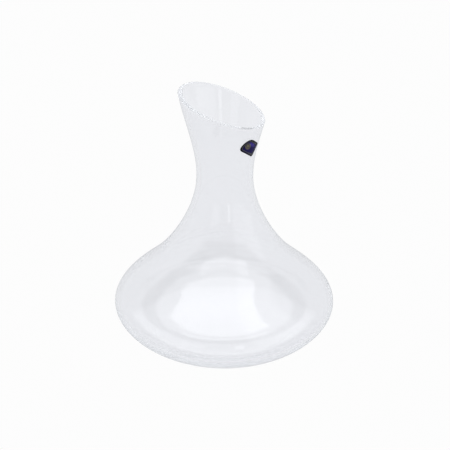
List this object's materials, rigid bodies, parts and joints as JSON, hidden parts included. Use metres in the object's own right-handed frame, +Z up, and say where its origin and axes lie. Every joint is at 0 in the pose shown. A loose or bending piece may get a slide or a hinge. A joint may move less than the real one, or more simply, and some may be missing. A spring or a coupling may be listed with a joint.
{
  "type": "wine decanter",
  "caption": "Clear blown-glass wine decanter with a wide low belly, a slender waisted neck and an obliquely cut mouth, with a small dark label on the neck.",
  "frame": {"origin": "centre of the flat foot ring, on the glass's axis, on the surface that it stands on", "axes": "+Z up along the glass's axis; the high side of the oblique mouth, where it pours, points along -X"},
  "size_m": [0.186, 0.186, 0.2209],
  "materials": {
    "glass": "clear, fire-polished, very smooth",
    "label_adhesive": "clear acrylic adhesive on a pale backing coat, matt",
    "label_film": "printed film, near-black edge round a dark navy field, satin",
    "silver_foil": "hot-stamped silver foil, dulled",
    "gold_foil": "hot-stamped pale gold foil, dulled"
  },
  "bodies": {
    "root": {"glass_body": "glass", "label_adhesive": "label_adhesive", "label_film": "label_film", "label_border_foil": "silver_foil", "label_emblem_foil": "gold_foil"}
  },
  "joints": []
}
